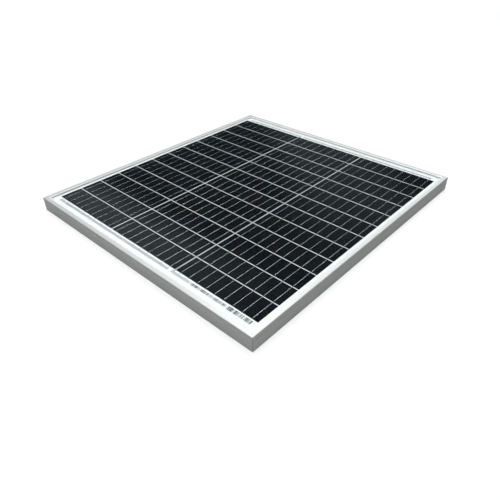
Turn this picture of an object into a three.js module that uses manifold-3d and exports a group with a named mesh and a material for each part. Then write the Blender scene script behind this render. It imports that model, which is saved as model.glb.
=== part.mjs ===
// A framed solar panel lying face up. Four mitred aluminium rails hold a laminate of glass,
// encapsulant, three strings of twelve cut cells and a white backsheet. A junction box with a
// hinged lid sits on the back. Millimetres, +Z up, origin on the ground under the middle of the
// panel. X runs across the three strings and Y runs along them.
import * as THREE from "three";
import { mergeVertices } from "three/addons/utils/BufferGeometryUtils.js";
import Module from "manifold-3d";

// Outer size
const WIDTH = 535;
const LENGTH = 580;
const HEIGHT = 27;

// Rail section, measured inwards from the outer face
const WALL = 1.5;
const LIP = 7.5;
const LIP_CHAMFER = 0.75;
const CHAMBER = 10;
const SHELF_TOP = 20;
const FLANGE = 20;
const FLANGE_TURN_UP = 3.5;
const GROOVE = { top: 20, bottom: 18.25, depth: 0.5 };
const MITRE_GAP = 0.15;

// Holes in the bottom flange
const SLOT = { length: 10, width: 6.5, inset: 14.5, spacing: 290 };
const GROUND_HOLE = { radius: 2, inset: 14.5, along: 40 };
const DRAIN_HOLE = { radius: 2.5, inset: 14.5, along: 215 };

// Corner keys in the rails' chambers
const KEY = { gap: 0.3, arm: 34, notches: 3, notchPitch: 6, notchWidth: 2, notchDepth: 0.8 };

// Laminate, from the top down. Every level is a multiple of 1/16 mm, so that faces meet exactly.
const LAMINATE_INSET = 2.5;
const GLASS_TOP = 24.75;
const GLASS_BOTTOM = 21.5;
const CELL_TOP = 21.125;
const CELL_BOTTOM = 20.9375;
const LEAD_TOP = 20.6875;
const BACKSHEET_TOP = 20.5;
const BACKSHEET_BOTTOM = 20.1875;
const SEAL_TOP_INSET = 7;
const SEAL_BOTTOM_INSET = 9.5;
const POCKET_GAP = 0.3;

// Cells
const STRINGS = 3;
const ROWS = 12;
const CELL = { x: 166, y: 41.5 };
const STRING_GAP = 2.5;
const ROW_GAP = 2.3;
const RIBBONS = 9;
const RIBBON_PITCH = 18.1;

// Bus ribbons across the ends of the strings, and their leads to the junction box
const BUS = { width: 5, offset: 6.5, overhang: 2, terminalReach: 12 };
const LEAD_THICKNESS = 0.1875;

// Junction box, with its long side along X and its cable outlets towards the middle of the panel
const BOX = { x: 100, y: 64, wall: 2, corner: 4, rim: 6.5, centreY: 205 };
const BOX_WINDOW = { x: 60, y: 9, offset: 22 };
const LID = { thickness: 2.25, gap: 0.1 };
const LID_RIB = { height: 1.25, gap: 0.3, width: 1.5, corner: 1.5 };
const LID_TAB = { x: 10, thickness: 1.5, height: 5, gap: 0.3, offset: 39 };
const HINGE = { offset: 3, z: 5.5, pin: 1.2, bore: 1.45, ear: 2.6, knuckle: 2.3, x: 32 };
const HINGE_WIDTHS = { knuckle: 6, ear: 3, gap: 0.4 };
const EAR_ROOT = { top: 8, bottom: 0.7 }; // heights of its join to the box, above the rim
const HINGE_ARCS = { earStart: 150, earEnd: 410, knuckleEnd: 120 }; // degrees
const OUTLET = { x: 25, z: 12.5, bore: 3.4, collar: 4.4, length: 8 };
const GLAND = { radius: 6, bore: 3.2, hexLength: 7.5, length: 12, gap: 0.3 };
const GLAND_NOSE = { root: 5.1, tip: 4.6 };
const TERMINAL = { x: 22, width: 10, near: -12, far: 26, top: 17, thickness: 1, tab: 2.5 };
const POST = { size: 4, places: [-6, 10] };
const DIODE = { radius: 2.5, length: 9.5, lead: 0.6, span: 48, y: 7, drop: 0.65 };

const CUT = 1; // how far a cutting solid runs past the face it cuts
const ROUND_STEPS = 20; // around a turned bar
const DIODE_STEPS = 12;
const UPRIGHT_STEPS = 6; // along each arc of an upright solid
const HINGE_STEPS = 8;

const wasm = await Module();
wasm.setup();

// ---------- solids ----------

function solidOf(geometry) {
  const bare = new THREE.BufferGeometry();
  bare.setAttribute("position", geometry.getAttribute("position"));
  bare.setIndex(geometry.getIndex());
  const merged = mergeVertices(bare, 1e-4);
  return new wasm.Manifold(
    new wasm.Mesh({
      numProp: 3,
      vertProperties: merged.attributes.position.array,
      triVerts: new Uint32Array(merged.index.array),
    }),
  );
}

function geometryOf(solid) {
  const { vertProperties, triVerts } = solid.getMesh();
  const geometry = new THREE.BufferGeometry();
  geometry.setAttribute("position", new THREE.BufferAttribute(vertProperties, 3));
  geometry.setIndex(new THREE.BufferAttribute(triVerts, 1));
  geometry.computeVertexNormals();
  return geometry;
}

// A box from its lowest corner to its highest.
function block([x0, y0, z0], [x1, y1, z1]) {
  const geometry = new THREE.BoxGeometry(x1 - x0, y1 - y0, z1 - z0);
  return geometry.translate((x0 + x1) / 2, (y0 + y1) / 2, (z0 + z1) / 2);
}

// A slab of the panel's outline, set in on all four sides.
function slab(inset, bottom, top) {
  const x = WIDTH / 2 - inset;
  const y = LENGTH / 2 - inset;
  return block([-x, -y, bottom], [x, y, top]);
}

function shapeOf(points) {
  return new THREE.Shape(points.map(([x, y]) => new THREE.Vector2(x, y)));
}

function roundedRectangle(width, depth, radius) {
  const x = width / 2 - radius;
  const y = depth / 2 - radius;
  const shape = new THREE.Shape();
  shape.absarc(x, y, radius, 0, Math.PI / 2);
  shape.absarc(-x, y, radius, Math.PI / 2, Math.PI);
  shape.absarc(-x, -y, radius, Math.PI, 1.5 * Math.PI);
  shape.absarc(x, -y, radius, 1.5 * Math.PI, 2 * Math.PI);
  return shape;
}

function upright(shape, bottom, top) {
  const geometry = new THREE.ExtrudeGeometry(shape, {
    depth: top - bottom,
    bevelEnabled: false,
    curveSegments: UPRIGHT_STEPS,
  });
  return geometry.translate(0, 0, bottom);
}

// A shape drawn in Y and Z, extruded along X about the middle x.
function alongX(shape, x, width) {
  const geometry = new THREE.ExtrudeGeometry(shape, {
    depth: width,
    bevelEnabled: false,
    curveSegments: HINGE_STEPS,
  });
  geometry.translate(0, 0, -width / 2);
  const turn = new THREE.Matrix4().set(0, 0, 1, x, 1, 0, 0, 0, 0, 1, 0, 0, 0, 0, 0, 1);
  return geometry.applyMatrix4(turn);
}

// A round bar along Y between two ends.
function barAlongY(radius, x, y0, y1, z) {
  const bar = new THREE.CylinderGeometry(radius, radius, y1 - y0, ROUND_STEPS);
  return bar.translate(x, (y0 + y1) / 2, z);
}

function joined(first, ...others) {
  return others.reduce((sum, geometry) => sum.add(solidOf(geometry)), solidOf(first));
}

function cutBy(solid, ...tools) {
  return tools.reduce((left, geometry) => left.subtract(solidOf(geometry)), solid);
}

// ---------- frame ----------

// The hollow rail section: x is the distance inwards from the outer face and y is the height.
function railSection() {
  const section = shapeOf([
    [0, 0],
    [FLANGE, 0],
    [FLANGE, FLANGE_TURN_UP],
    [FLANGE - WALL, FLANGE_TURN_UP],
    [FLANGE - WALL, WALL],
    [CHAMBER, WALL],
    [CHAMBER, SHELF_TOP],
    [WALL, SHELF_TOP],
    [WALL, HEIGHT - WALL],
    [LIP, HEIGHT - WALL],
    [LIP, HEIGHT],
    [LIP_CHAMFER, HEIGHT],
    [0, HEIGHT - LIP_CHAMFER],
    [0, GROOVE.top],
    [GROOVE.depth, GROOVE.top - GROOVE.depth / 2],
    [GROOVE.depth, GROOVE.top - 2 * GROOVE.depth],
    [0, GROOVE.bottom],
  ]);
  const chamber = [
    [WALL, WALL],
    [WALL, SHELF_TOP - WALL],
    [CHAMBER - WALL, SHELF_TOP - WALL],
    [CHAMBER - WALL, WALL],
  ];
  section.holes.push(new THREE.Path(chamber.map(([x, y]) => new THREE.Vector2(x, y))));
  return section;
}

// A rail along X with its outer face at y = 0, cut at 45 degrees at both ends.
function mitredRail(length) {
  const rail = new THREE.ExtrudeGeometry(railSection(), { depth: 1, bevelEnabled: false });
  const position = rail.getAttribute("position");
  for (let i = 0; i < position.count; i += 1) {
    const inwards = position.getX(i);
    const height = position.getY(i);
    const reach = length / 2 - inwards - MITRE_GAP;
    const side = position.getZ(i) > 0.5 ? 1 : -1;
    position.setXYZ(i, side * reach, inwards, height);
  }
  return rail;
}

function roundHole(radius, x, y) {
  const hole = new THREE.Shape().absarc(x, y, radius, 0, 2 * Math.PI);
  return upright(hole, -CUT, WALL + CUT);
}

function mountingSlot(x) {
  const straight = (SLOT.length - SLOT.width) / 2;
  const slot = new THREE.Shape();
  slot.absarc(x + straight, SLOT.inset, SLOT.width / 2, -Math.PI / 2, Math.PI / 2);
  slot.absarc(x - straight, SLOT.inset, SLOT.width / 2, Math.PI / 2, 1.5 * Math.PI);
  return upright(slot, -CUT, WALL + CUT);
}

function longRail() {
  return cutBy(
    solidOf(mitredRail(LENGTH)),
    mountingSlot(-SLOT.spacing / 2),
    mountingSlot(SLOT.spacing / 2),
    roundHole(GROUND_HOLE.radius, -GROUND_HOLE.along, GROUND_HOLE.inset),
    roundHole(GROUND_HOLE.radius, GROUND_HOLE.along, GROUND_HOLE.inset),
  );
}

function shortRail() {
  return cutBy(
    solidOf(mitredRail(WIDTH)),
    roundHole(DRAIN_HOLE.radius, -DRAIN_HOLE.along, DRAIN_HOLE.inset),
    roundHole(DRAIN_HOLE.radius, DRAIN_HOLE.along, DRAIN_HOLE.inset),
  );
}

// An L-shaped key with notched inner edges, its outer corner at the origin.
function cornerKey() {
  const low = WALL + KEY.gap;
  const high = CHAMBER - WALL - KEY.gap;
  const notched = [];
  for (let i = 0; i < KEY.notches; i += 1) {
    const start = KEY.arm - KEY.notchPitch * (i + 1);
    const middle = start + KEY.notchWidth / 2;
    notched.push([start + KEY.notchWidth, high], [middle, high - KEY.notchDepth], [start, high]);
  }
  const mirrored = notched.map(([x, y]) => [y, x]).reverse();
  const outline = [
    [low, low],
    [KEY.arm, low],
    [KEY.arm, high],
    ...notched,
    [high, high],
    ...mirrored,
    [high, KEY.arm],
    [low, KEY.arm],
  ];
  return upright(shapeOf(outline), WALL + KEY.gap, SHELF_TOP - WALL - KEY.gap);
}

// ---------- laminate ----------

function cellCentre(string, row) {
  const x = (string - (STRINGS - 1) / 2) * (CELL.x + STRING_GAP);
  const y = (row - (ROWS - 1) / 2) * (CELL.y + ROW_GAP);
  return [x, y];
}

function cellSpace(string, row, gap, bottom, top) {
  const [x, y] = cellCentre(string, row);
  const dx = CELL.x / 2 + gap;
  const dy = CELL.y / 2 + gap;
  return block([x - dx, y - dy, bottom], [x + dx, y + dy, top]);
}

// The x of the first and last ribbon of a string.
function ribbonEnds(string) {
  const [x] = cellCentre(string, 0);
  const half = ((RIBBONS - 1) / 2) * RIBBON_PITCH;
  return [x - half, x + half];
}

const busLine = cellCentre(0, ROWS - 1)[1] + CELL.y / 2 + BUS.offset;
const boxEntryY = BOX.centreY + BOX_WINDOW.offset;

// The blocks of a bus ribbon between two ends, on the side of the panel that sideY names.
function busBlocks(x0, x1, sideY) {
  const y = sideY * busLine;
  return [{ low: [x0, y - BUS.width / 2, CELL_BOTTOM], high: [x1, y + BUS.width / 2, CELL_TOP] }];
}

// The blocks of the lead that runs from a bus ribbon, behind the cells, to a terminal.
function leadBlocks(leadX, sideY, terminalX) {
  const half = BUS.width / 2;
  const y = sideY * busLine;
  const drop = LEAD_THICKNESS / 2;
  return [
    { low: [leadX - half, y - half, BACKSHEET_TOP], high: [leadX + half, y + half, CELL_TOP] },
    {
      low: [leadX - half, Math.min(y, boxEntryY) - half, BACKSHEET_TOP],
      high: [leadX + half, Math.max(y, boxEntryY) + half, LEAD_TOP],
    },
    {
      low: [Math.min(leadX, terminalX) - half, boxEntryY - half, BACKSHEET_TOP],
      high: [Math.max(leadX, terminalX) + half, boxEntryY + half, LEAD_TOP],
    },
    {
      low: [terminalX - half, boxEntryY - drop, TERMINAL.top],
      high: [terminalX + half, boxEntryY + drop, LEAD_TOP],
    },
  ];
}

const firstString = ribbonEnds(0);
const middleString = ribbonEnds(1);
const lastString = ribbonEnds(2);
const leadX = (CELL.x + STRING_GAP) / 2;
const busRibbons = {
  bus_ribbon_front_link: busBlocks(
    firstString[0] - BUS.overhang,
    middleString[1] + BUS.overhang,
    -1,
  ),
  bus_ribbon_back_link: busBlocks(
    middleString[0] - BUS.overhang,
    lastString[1] + BUS.overhang,
    1,
  ),
  bus_ribbon_front_terminal: [
    ...busBlocks(lastString[0] - BUS.terminalReach, lastString[1] + BUS.overhang, -1),
    ...leadBlocks(leadX, -1, TERMINAL.x),
  ],
  bus_ribbon_back_terminal: [
    ...busBlocks(firstString[0] - BUS.overhang, -leadX, 1),
    ...leadBlocks(-leadX, 1, -TERMINAL.x),
  ],
};

function ribbonSolid(blocks) {
  return joined(...blocks.map(({ low, high }) => block(low, high)));
}

// The room that a ribbon needs in the rear encapsulant: a lead's is open below, a bus ribbon's above.
function ribbonPocket({ low, high }) {
  const isBus = high[2] > LEAD_TOP;
  const isLead = low[2] < CELL_BOTTOM;
  const bottom = isLead ? BACKSHEET_TOP - CUT : low[2];
  const top = isBus ? CELL_TOP + CUT : high[2];
  return block(
    [low[0] - POCKET_GAP, low[1] - POCKET_GAP, bottom],
    [high[0] + POCKET_GAP, high[1] + POCKET_GAP, top],
  );
}

function rearEncapsulant() {
  const pockets = Object.values(busRibbons).flat().map(ribbonPocket);
  for (let string = 0; string < STRINGS; string += 1) {
    for (let row = 0; row < ROWS; row += 1) {
      pockets.push(cellSpace(string, row, POCKET_GAP, CELL_BOTTOM, CELL_TOP + CUT));
    }
  }
  return cutBy(solidOf(slab(LAMINATE_INSET, BACKSHEET_TOP, CELL_TOP)), ...pockets);
}

// The window through which the leads reach the junction box.
function leadWindow(bottom, top) {
  const x = BOX_WINDOW.x / 2;
  const y = BOX_WINDOW.y / 2;
  return block([-x, boxEntryY - y, bottom], [x, boxEntryY + y, top]);
}

function backsheet() {
  const sheet = solidOf(slab(LAMINATE_INSET, BACKSHEET_BOTTOM, BACKSHEET_TOP));
  return cutBy(sheet, leadWindow(BACKSHEET_BOTTOM - CUT, BACKSHEET_TOP + CUT));
}

// A ring of sealant round the laminate's edge, with a leg above it and a leg below it.
function edgeSeal() {
  return cutBy(
    solidOf(slab(WALL, SHELF_TOP, HEIGHT - WALL)),
    slab(LAMINATE_INSET, BACKSHEET_BOTTOM, GLASS_TOP),
    slab(SEAL_TOP_INSET, GLASS_TOP - CUT, HEIGHT),
    slab(SEAL_BOTTOM_INSET, SHELF_TOP - CUT, BACKSHEET_BOTTOM + CUT),
  );
}

// ---------- junction box, drawn about its own centre line ----------

const floorBottom = BACKSHEET_BOTTOM - BOX.wall;
const hingeY = BOX.y / 2 + HINGE.offset;
const lidTop = BOX.rim - LID.gap;
const lidBottom = lidTop - LID.thickness;

function earShape() {
  const shape = new THREE.Shape();
  shape.moveTo(BOX.y / 2 - CUT, BOX.rim + EAR_ROOT.top);
  shape.lineTo(BOX.y / 2 - CUT, BOX.rim + EAR_ROOT.bottom);
  const start = THREE.MathUtils.degToRad(HINGE_ARCS.earStart);
  const end = THREE.MathUtils.degToRad(HINGE_ARCS.earEnd);
  shape.absarc(hingeY, HINGE.z, HINGE.ear, start, end);
  const bore = new THREE.Path().absarc(hingeY, HINGE.z, HINGE.bore, 0, 2 * Math.PI);
  shape.holes.push(bore);
  return shape;
}

function knuckleShape() {
  const shape = new THREE.Shape();
  shape.moveTo(BOX.y / 2 - CUT, lidTop);
  shape.lineTo(BOX.y / 2 - CUT, lidBottom);
  const end = THREE.MathUtils.degToRad(HINGE_ARCS.knuckleEnd);
  shape.absarc(hingeY, HINGE.z, HINGE.knuckle, -Math.PI / 2, end);
  shape.lineTo(BOX.y / 2 + HINGE_WIDTHS.gap, lidTop);
  return shape;
}

function hingeEars() {
  const apart = HINGE_WIDTHS.knuckle / 2 + HINGE_WIDTHS.gap + HINGE_WIDTHS.ear / 2;
  const places = [-HINGE.x - apart, -HINGE.x + apart, HINGE.x - apart, HINGE.x + apart];
  return places.map((x) => alongX(earShape(), x, HINGE_WIDTHS.ear));
}

function terminalPosts() {
  const half = POST.size / 2;
  return [-TERMINAL.x, TERMINAL.x].flatMap((x) =>
    POST.places.map((y) =>
      block([x - half, y - half, TERMINAL.top], [x + half, y + half, floorBottom + CUT]),
    ),
  );
}

function junctionBoxBase() {
  const face = -BOX.y / 2;
  const shell = joined(
    upright(roundedRectangle(BOX.x, BOX.y, BOX.corner), BOX.rim, BACKSHEET_BOTTOM),
    barAlongY(OUTLET.collar, -OUTLET.x, face - OUTLET.length, face + CUT, OUTLET.z),
    barAlongY(OUTLET.collar, OUTLET.x, face - OUTLET.length, face + CUT, OUTLET.z),
  );
  const inside = roundedRectangle(
    BOX.x - 2 * BOX.wall,
    BOX.y - 2 * BOX.wall,
    BOX.corner - BOX.wall,
  );
  const hollow = cutBy(
    shell,
    upright(inside, BOX.rim - CUT, floorBottom),
    barAlongY(OUTLET.bore, -OUTLET.x, face - OUTLET.length - CUT, 0, OUTLET.z),
    barAlongY(OUTLET.bore, OUTLET.x, face - OUTLET.length - CUT, 0, OUTLET.z),
    leadWindow(floorBottom - CUT, BACKSHEET_BOTTOM + CUT).translate(0, -BOX.centreY, 0),
  );
  return [...hingeEars(), ...terminalPosts()].reduce(
    (sum, geometry) => sum.add(solidOf(geometry)),
    hollow,
  );
}

function hingePin(x) {
  const pinLength = HINGE_WIDTHS.knuckle + 2 * (HINGE_WIDTHS.gap + HINGE_WIDTHS.ear);
  const pin = new THREE.Shape().absarc(hingeY, HINGE.z, HINGE.pin, 0, 2 * Math.PI);
  return alongX(pin, x, pinLength);
}

function lidTab(x) {
  const outer = -BOX.y / 2 - LID_TAB.gap - LID_TAB.thickness;
  const inner = -BOX.y / 2 - LID_TAB.gap;
  const half = LID_TAB.x / 2;
  return [
    block([x - half, outer, lidBottom], [x + half, inner, lidTop + LID_TAB.height]),
    block([x - half, outer, lidBottom], [x + half, -BOX.y / 2 + CUT, lidTop]),
  ];
}

function junctionBoxLid() {
  const ribX = BOX.x - 2 * (BOX.wall + LID_RIB.gap);
  const ribY = BOX.y - 2 * (BOX.wall + LID_RIB.gap);
  const ribTop = lidTop + LID_RIB.height;
  const rib = cutBy(
    solidOf(upright(roundedRectangle(ribX, ribY, LID_RIB.corner), lidTop - CUT, ribTop)),
    block(
      [LID_RIB.width - ribX / 2, LID_RIB.width - ribY / 2, lidTop - 2 * CUT],
      [ribX / 2 - LID_RIB.width, ribY / 2 - LID_RIB.width, ribTop + CUT],
    ),
  );
  const plate = joined(
    upright(roundedRectangle(BOX.x, BOX.y, BOX.corner), lidBottom, lidTop),
    ...[-HINGE.x, HINGE.x].flatMap((x) => [
      alongX(knuckleShape(), x, HINGE_WIDTHS.knuckle),
      hingePin(x),
    ]),
    ...[-LID_TAB.offset, LID_TAB.offset].flatMap(lidTab),
  );
  return plate.add(rib);
}

// A hexagonal gland nut with a tapered nose, on the axis of its outlet.
function glandNut() {
  const start = -BOX.y / 2 - GLAND.gap;
  const hex = new THREE.CylinderGeometry(GLAND.radius, GLAND.radius, GLAND.hexLength, 6);
  hex.translate(0, start - GLAND.hexLength / 2, 0);
  const noseLength = GLAND.length - GLAND.hexLength + CUT;
  const { root, tip } = GLAND_NOSE;
  const nose = new THREE.CylinderGeometry(root, tip, noseLength, ROUND_STEPS);
  nose.translate(0, start - GLAND.length + noseLength / 2, 0);
  return cutBy(
    joined(hex, nose),
    barAlongY(OUTLET.collar + GLAND.gap, 0, start - OUTLET.length, start + CUT, 0),
    barAlongY(GLAND.bore, 0, start - GLAND.length - CUT, start, 0),
  );
}

function terminalPlate() {
  const half = TERMINAL.width / 2;
  const bottom = TERMINAL.top - TERMINAL.thickness;
  return joined(
    block([-half, TERMINAL.near, bottom], [half, TERMINAL.far, TERMINAL.top]),
    block(
      [-half, TERMINAL.near, bottom - TERMINAL.tab],
      [half, TERMINAL.near + TERMINAL.thickness, TERMINAL.top],
    ),
  );
}

// A diode body with a lead out of each end, turned about the Y axis.
function diodeGeometry() {
  const { radius, length, lead, span } = DIODE;
  const profile = [
    [0, -span / 2],
    [lead, -span / 2],
    [lead, -length / 2],
    [radius, -length / 2],
    [radius, length / 2],
    [lead, length / 2],
    [lead, span / 2],
    [0, span / 2],
  ];
  return new THREE.LatheGeometry(
    profile.map(([x, y]) => new THREE.Vector2(x, y)),
    DIODE_STEPS,
  );
}

// ---------- materials ----------

function finish(color, roughness, metalness, opacity = 1) {
  const transparent = opacity < 1;
  return new THREE.MeshStandardMaterial({ color, roughness, metalness, opacity, transparent });
}

const anodised = () => finish(0xc9cccb, 0.38, 1);
const castKey = () => finish(0x9a9d9e, 0.55, 1);
const glass = () => finish(0xeef6f3, 0.05, 0, 0.25);
const clearFilm = () => finish(0xf4f7f7, 0.2, 0, 0.3);
const whiteFilm = () => finish(0xf1f4f5, 0.5, 0);
const sealant = () => finish(0xe6e8e8, 0.6, 0);
const silicon = () => finish(0x12171f, 0.25, 0.1);
const tinned = () => finish(0xc4c8cc, 0.35, 1);
const blackPlastic = () => finish(0x17181a, 0.5, 0);
const copper = () => finish(0xb9a27a, 0.4, 1);
const diodeBody = () => finish(0x202124, 0.45, 0);

// ---------- assembly ----------

const panel = new THREE.Group();

function place(parent, name, geometry, material, [x, y, z] = [0, 0, 0], turn = 0) {
  const mesh = new THREE.Mesh(geometry, material);
  mesh.name = name;
  mesh.position.set(x, y, z);
  mesh.rotation.z = turn;
  parent.add(mesh);
  return mesh;
}

function addFrame() {
  const frame = new THREE.Group();
  const quarter = Math.PI / 2;
  const x = WIDTH / 2;
  const y = LENGTH / 2;
  const short = shortRail();
  const long = longRail();
  place(frame, "rail_front", geometryOf(short), anodised(), [0, -y, 0]);
  place(frame, "rail_right", geometryOf(long), anodised(), [x, 0, 0], quarter);
  place(frame, "rail_back", geometryOf(short), anodised(), [0, y, 0], 2 * quarter);
  place(frame, "rail_left", geometryOf(long), anodised(), [-x, 0, 0], 3 * quarter);
  place(frame, "corner_key_front_left", cornerKey(), castKey(), [-x, -y, 0]);
  place(frame, "corner_key_front_right", cornerKey(), castKey(), [x, -y, 0], quarter);
  place(frame, "corner_key_back_right", cornerKey(), castKey(), [x, y, 0], 2 * quarter);
  place(frame, "corner_key_back_left", cornerKey(), castKey(), [-x, y, 0], 3 * quarter);
  place(frame, "edge_seal", geometryOf(edgeSeal()), sealant());
  panel.add(frame);
}

function addLaminate() {
  const laminate = new THREE.Group();
  place(laminate, "glass", slab(LAMINATE_INSET, GLASS_BOTTOM, GLASS_TOP), glass());
  const frontFilm = slab(LAMINATE_INSET, CELL_TOP, GLASS_BOTTOM);
  place(laminate, "front_encapsulant", frontFilm, clearFilm());
  place(laminate, "rear_encapsulant", geometryOf(rearEncapsulant()), clearFilm());
  place(laminate, "backsheet", geometryOf(backsheet()), whiteFilm());
  for (const [name, blocks] of Object.entries(busRibbons)) {
    place(laminate, name, geometryOf(ribbonSolid(blocks)), tinned());
  }
  for (let string = 0; string < STRINGS; string += 1) {
    for (let row = 0; row < ROWS; row += 1) {
      const name = `cell_string${string + 1}_row${String(row + 1).padStart(2, "0")}`;
      place(laminate, name, cellSpace(string, row, 0, CELL_BOTTOM, CELL_TOP), silicon());
    }
  }
  panel.add(laminate);
}

function addJunctionBox() {
  const box = new THREE.Group();
  box.position.set(0, BOX.centreY, 0);
  place(box, "junction_box_base", geometryOf(junctionBoxBase()), blackPlastic());
  place(box, "junction_box_lid", geometryOf(junctionBoxLid()), blackPlastic());
  for (const [side, sign] of Object.entries({ negative: -1, positive: 1 })) {
    const gland = geometryOf(glandNut());
    place(box, `cable_gland_${side}`, gland, blackPlastic(), [sign * OUTLET.x, 0, OUTLET.z]);
    const plate = geometryOf(terminalPlate());
    place(box, `terminal_${side}`, plate, copper(), [sign * TERMINAL.x, 0, 0]);
  }
  const diodeZ = TERMINAL.top - TERMINAL.thickness - DIODE.drop;
  const diodeAt = [0, DIODE.y, diodeZ];
  place(box, "bypass_diode", diodeGeometry(), diodeBody(), diodeAt, Math.PI / 2);
  panel.add(box);
}

addFrame();
addLaminate();
addJunctionBox();

export default panel;
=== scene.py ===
"""Finishes and studio for a framed solar panel.

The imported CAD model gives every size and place. Each operator here finishes one kind of piece:
it gives a CAD node its material, or builds a finer mesh that stands for it. The panel in the
sidebar lists the operators, and main() runs all of them in order.
"""

import math

import bmesh
import bpy
from bpy.props import FloatProperty, FloatVectorProperty, IntProperty, PointerProperty
from bpy.types import Operator, Panel, PropertyGroup
from mathutils import Matrix, Vector


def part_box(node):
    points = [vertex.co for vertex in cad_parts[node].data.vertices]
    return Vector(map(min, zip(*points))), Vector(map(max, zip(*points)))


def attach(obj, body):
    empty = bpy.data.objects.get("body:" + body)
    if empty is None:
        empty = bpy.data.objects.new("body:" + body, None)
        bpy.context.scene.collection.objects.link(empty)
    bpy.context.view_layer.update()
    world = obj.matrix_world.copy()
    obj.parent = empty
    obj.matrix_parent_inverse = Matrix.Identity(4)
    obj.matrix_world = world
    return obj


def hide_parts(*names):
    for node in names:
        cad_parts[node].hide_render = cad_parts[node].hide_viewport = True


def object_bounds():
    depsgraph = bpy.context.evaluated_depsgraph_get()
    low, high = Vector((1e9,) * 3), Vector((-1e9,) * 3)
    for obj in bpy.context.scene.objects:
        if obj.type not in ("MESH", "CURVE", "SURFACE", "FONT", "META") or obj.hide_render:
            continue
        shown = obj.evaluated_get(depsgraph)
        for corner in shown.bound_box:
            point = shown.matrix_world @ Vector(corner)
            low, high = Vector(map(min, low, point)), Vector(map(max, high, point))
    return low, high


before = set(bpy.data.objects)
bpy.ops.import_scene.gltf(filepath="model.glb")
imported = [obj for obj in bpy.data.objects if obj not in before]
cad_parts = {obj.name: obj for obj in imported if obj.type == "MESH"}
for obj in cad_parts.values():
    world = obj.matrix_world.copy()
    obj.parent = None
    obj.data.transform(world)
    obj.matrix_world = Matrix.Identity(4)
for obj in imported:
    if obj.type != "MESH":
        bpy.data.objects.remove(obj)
CAD_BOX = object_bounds()

bl_info = {
    "name": "Solar Panel Finishes",
    "version": (1, 0, 0),
    "blender": (4, 5, 0),
    "location": "View3D > Sidebar > Solar Panel",
    "description": "Ribbons, sealant, glass, finishes and a studio for a framed solar panel",
    "category": "Object",
}

MM = 0.001
PANEL_BODY = "panel"
LID_BODY = "lid"
STRINGS = 3
ROWS = 12
SIDES = ("negative", "positive")


# ---------- places read from the CAD model ----------


def cell_name(string, row):
    return f"cell_string{string}_row{row:02d}"


FIRST_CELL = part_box(cell_name(1, 1))
LAST_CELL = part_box(cell_name(STRINGS, ROWS))
CELL_SIZE = FIRST_CELL[1] - FIRST_CELL[0]
STRING_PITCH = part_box(cell_name(2, 1))[0].x - FIRST_CELL[0].x
ROW_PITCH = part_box(cell_name(1, 2))[0].y - FIRST_CELL[0].y
CELL_GAP = Vector((STRING_PITCH - CELL_SIZE.x, ROW_PITCH - CELL_SIZE.y, 0.0))
GRID_START = FIRST_CELL[0] - CELL_GAP / 2
BUS_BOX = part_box("bus_ribbon_front_link")
GLASS_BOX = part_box("glass")
BACKSHEET_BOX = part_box("backsheet")
BOX_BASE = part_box("junction_box_base")
DIODE_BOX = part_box("bypass_diode")


# ---------- places inside the CAD model that no box gives ----------

LIP_INSET = 7.75 * MM
CHAMBER_WIDTH = 10.0 * MM
BOX_MIDDLE_Y = 205 * MM
BOX_LENGTH = 64 * MM
LID_FACE_Z = 4.15 * MM
OUTLET_X = 25 * MM
SMOOTH_ANGLE = math.radians(35)
WHITE = (1.0, 1.0, 1.0)


# ---------- sizes and colours ----------


def kind_of_property(declare, **limits):
    """A function that declares such a property from its label and its default."""

    def make(label, default):
        return declare(name=label, default=default, **limits)

    return make


length = kind_of_property(FloatProperty, min=0.0, unit="LENGTH")
share = kind_of_property(FloatProperty, min=0.0, max=1.0, subtype="FACTOR")
strength = kind_of_property(FloatProperty, min=0.0)
angle = kind_of_property(FloatProperty, subtype="ANGLE")
number = kind_of_property(IntProperty, min=1)
colour = kind_of_property(FloatVectorProperty, min=0.0, max=1.0, subtype="COLOR")
place = kind_of_property(FloatVectorProperty, subtype="TRANSLATION", unit="LENGTH")


class RailSettings(PropertyGroup):
    """Extruded rails and the keys inside their corners."""

    edge: length("Rounding of the rails' edges", 0.25 * MM)
    metal: colour("Colour of the anodised rails", (0.87, 0.88, 0.86))
    sheen: share("Share of mirror-like reflection", 0.72)
    roughness: share("Blur of the reflections", 0.42)
    line_spacing: length("Spacing of the extrusion's fine lines", 0.5 * MM)
    key_metal: colour("Colour of the corner keys", (0.55, 0.56, 0.57))


class GlassSettings(PropertyGroup):
    """The front glass and the clear films laminated to it."""

    tint: colour("Colour of the glass", (0.975, 0.99, 0.985))
    roughness: share("Blur of the textured face", 0.045)
    edge: length("Rounding of the glass's edges", 0.3 * MM)
    corner: length("Rounding of the glass's corners", 1.0 * MM)
    index: strength("Bending of light in the glass", 1.5)


class CellSettings(PropertyGroup):
    """Silicon cells with their printed silver grid."""

    deep: colour("Darker silicon tint", (0.0006, 0.0020, 0.0040))
    pale: colour("Lighter silicon tint", (0.0026, 0.0044, 0.0062))
    silver: colour("Colour of the printed grid", (0.30, 0.32, 0.34))
    finger_pitch: length("Spacing of the printed fingers", 1.3 * MM)
    finger_width: length("Width of a printed finger", 0.06 * MM)
    busbar_width: length("Width of the print under a ribbon", 0.3 * MM)
    border: length("Bare edge round the print", 0.8 * MM)
    finger_print: share("Share of silver seen in a finger", 0.22)
    busbar_print: share("Share of silver seen in a busbar", 0.7)


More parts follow.
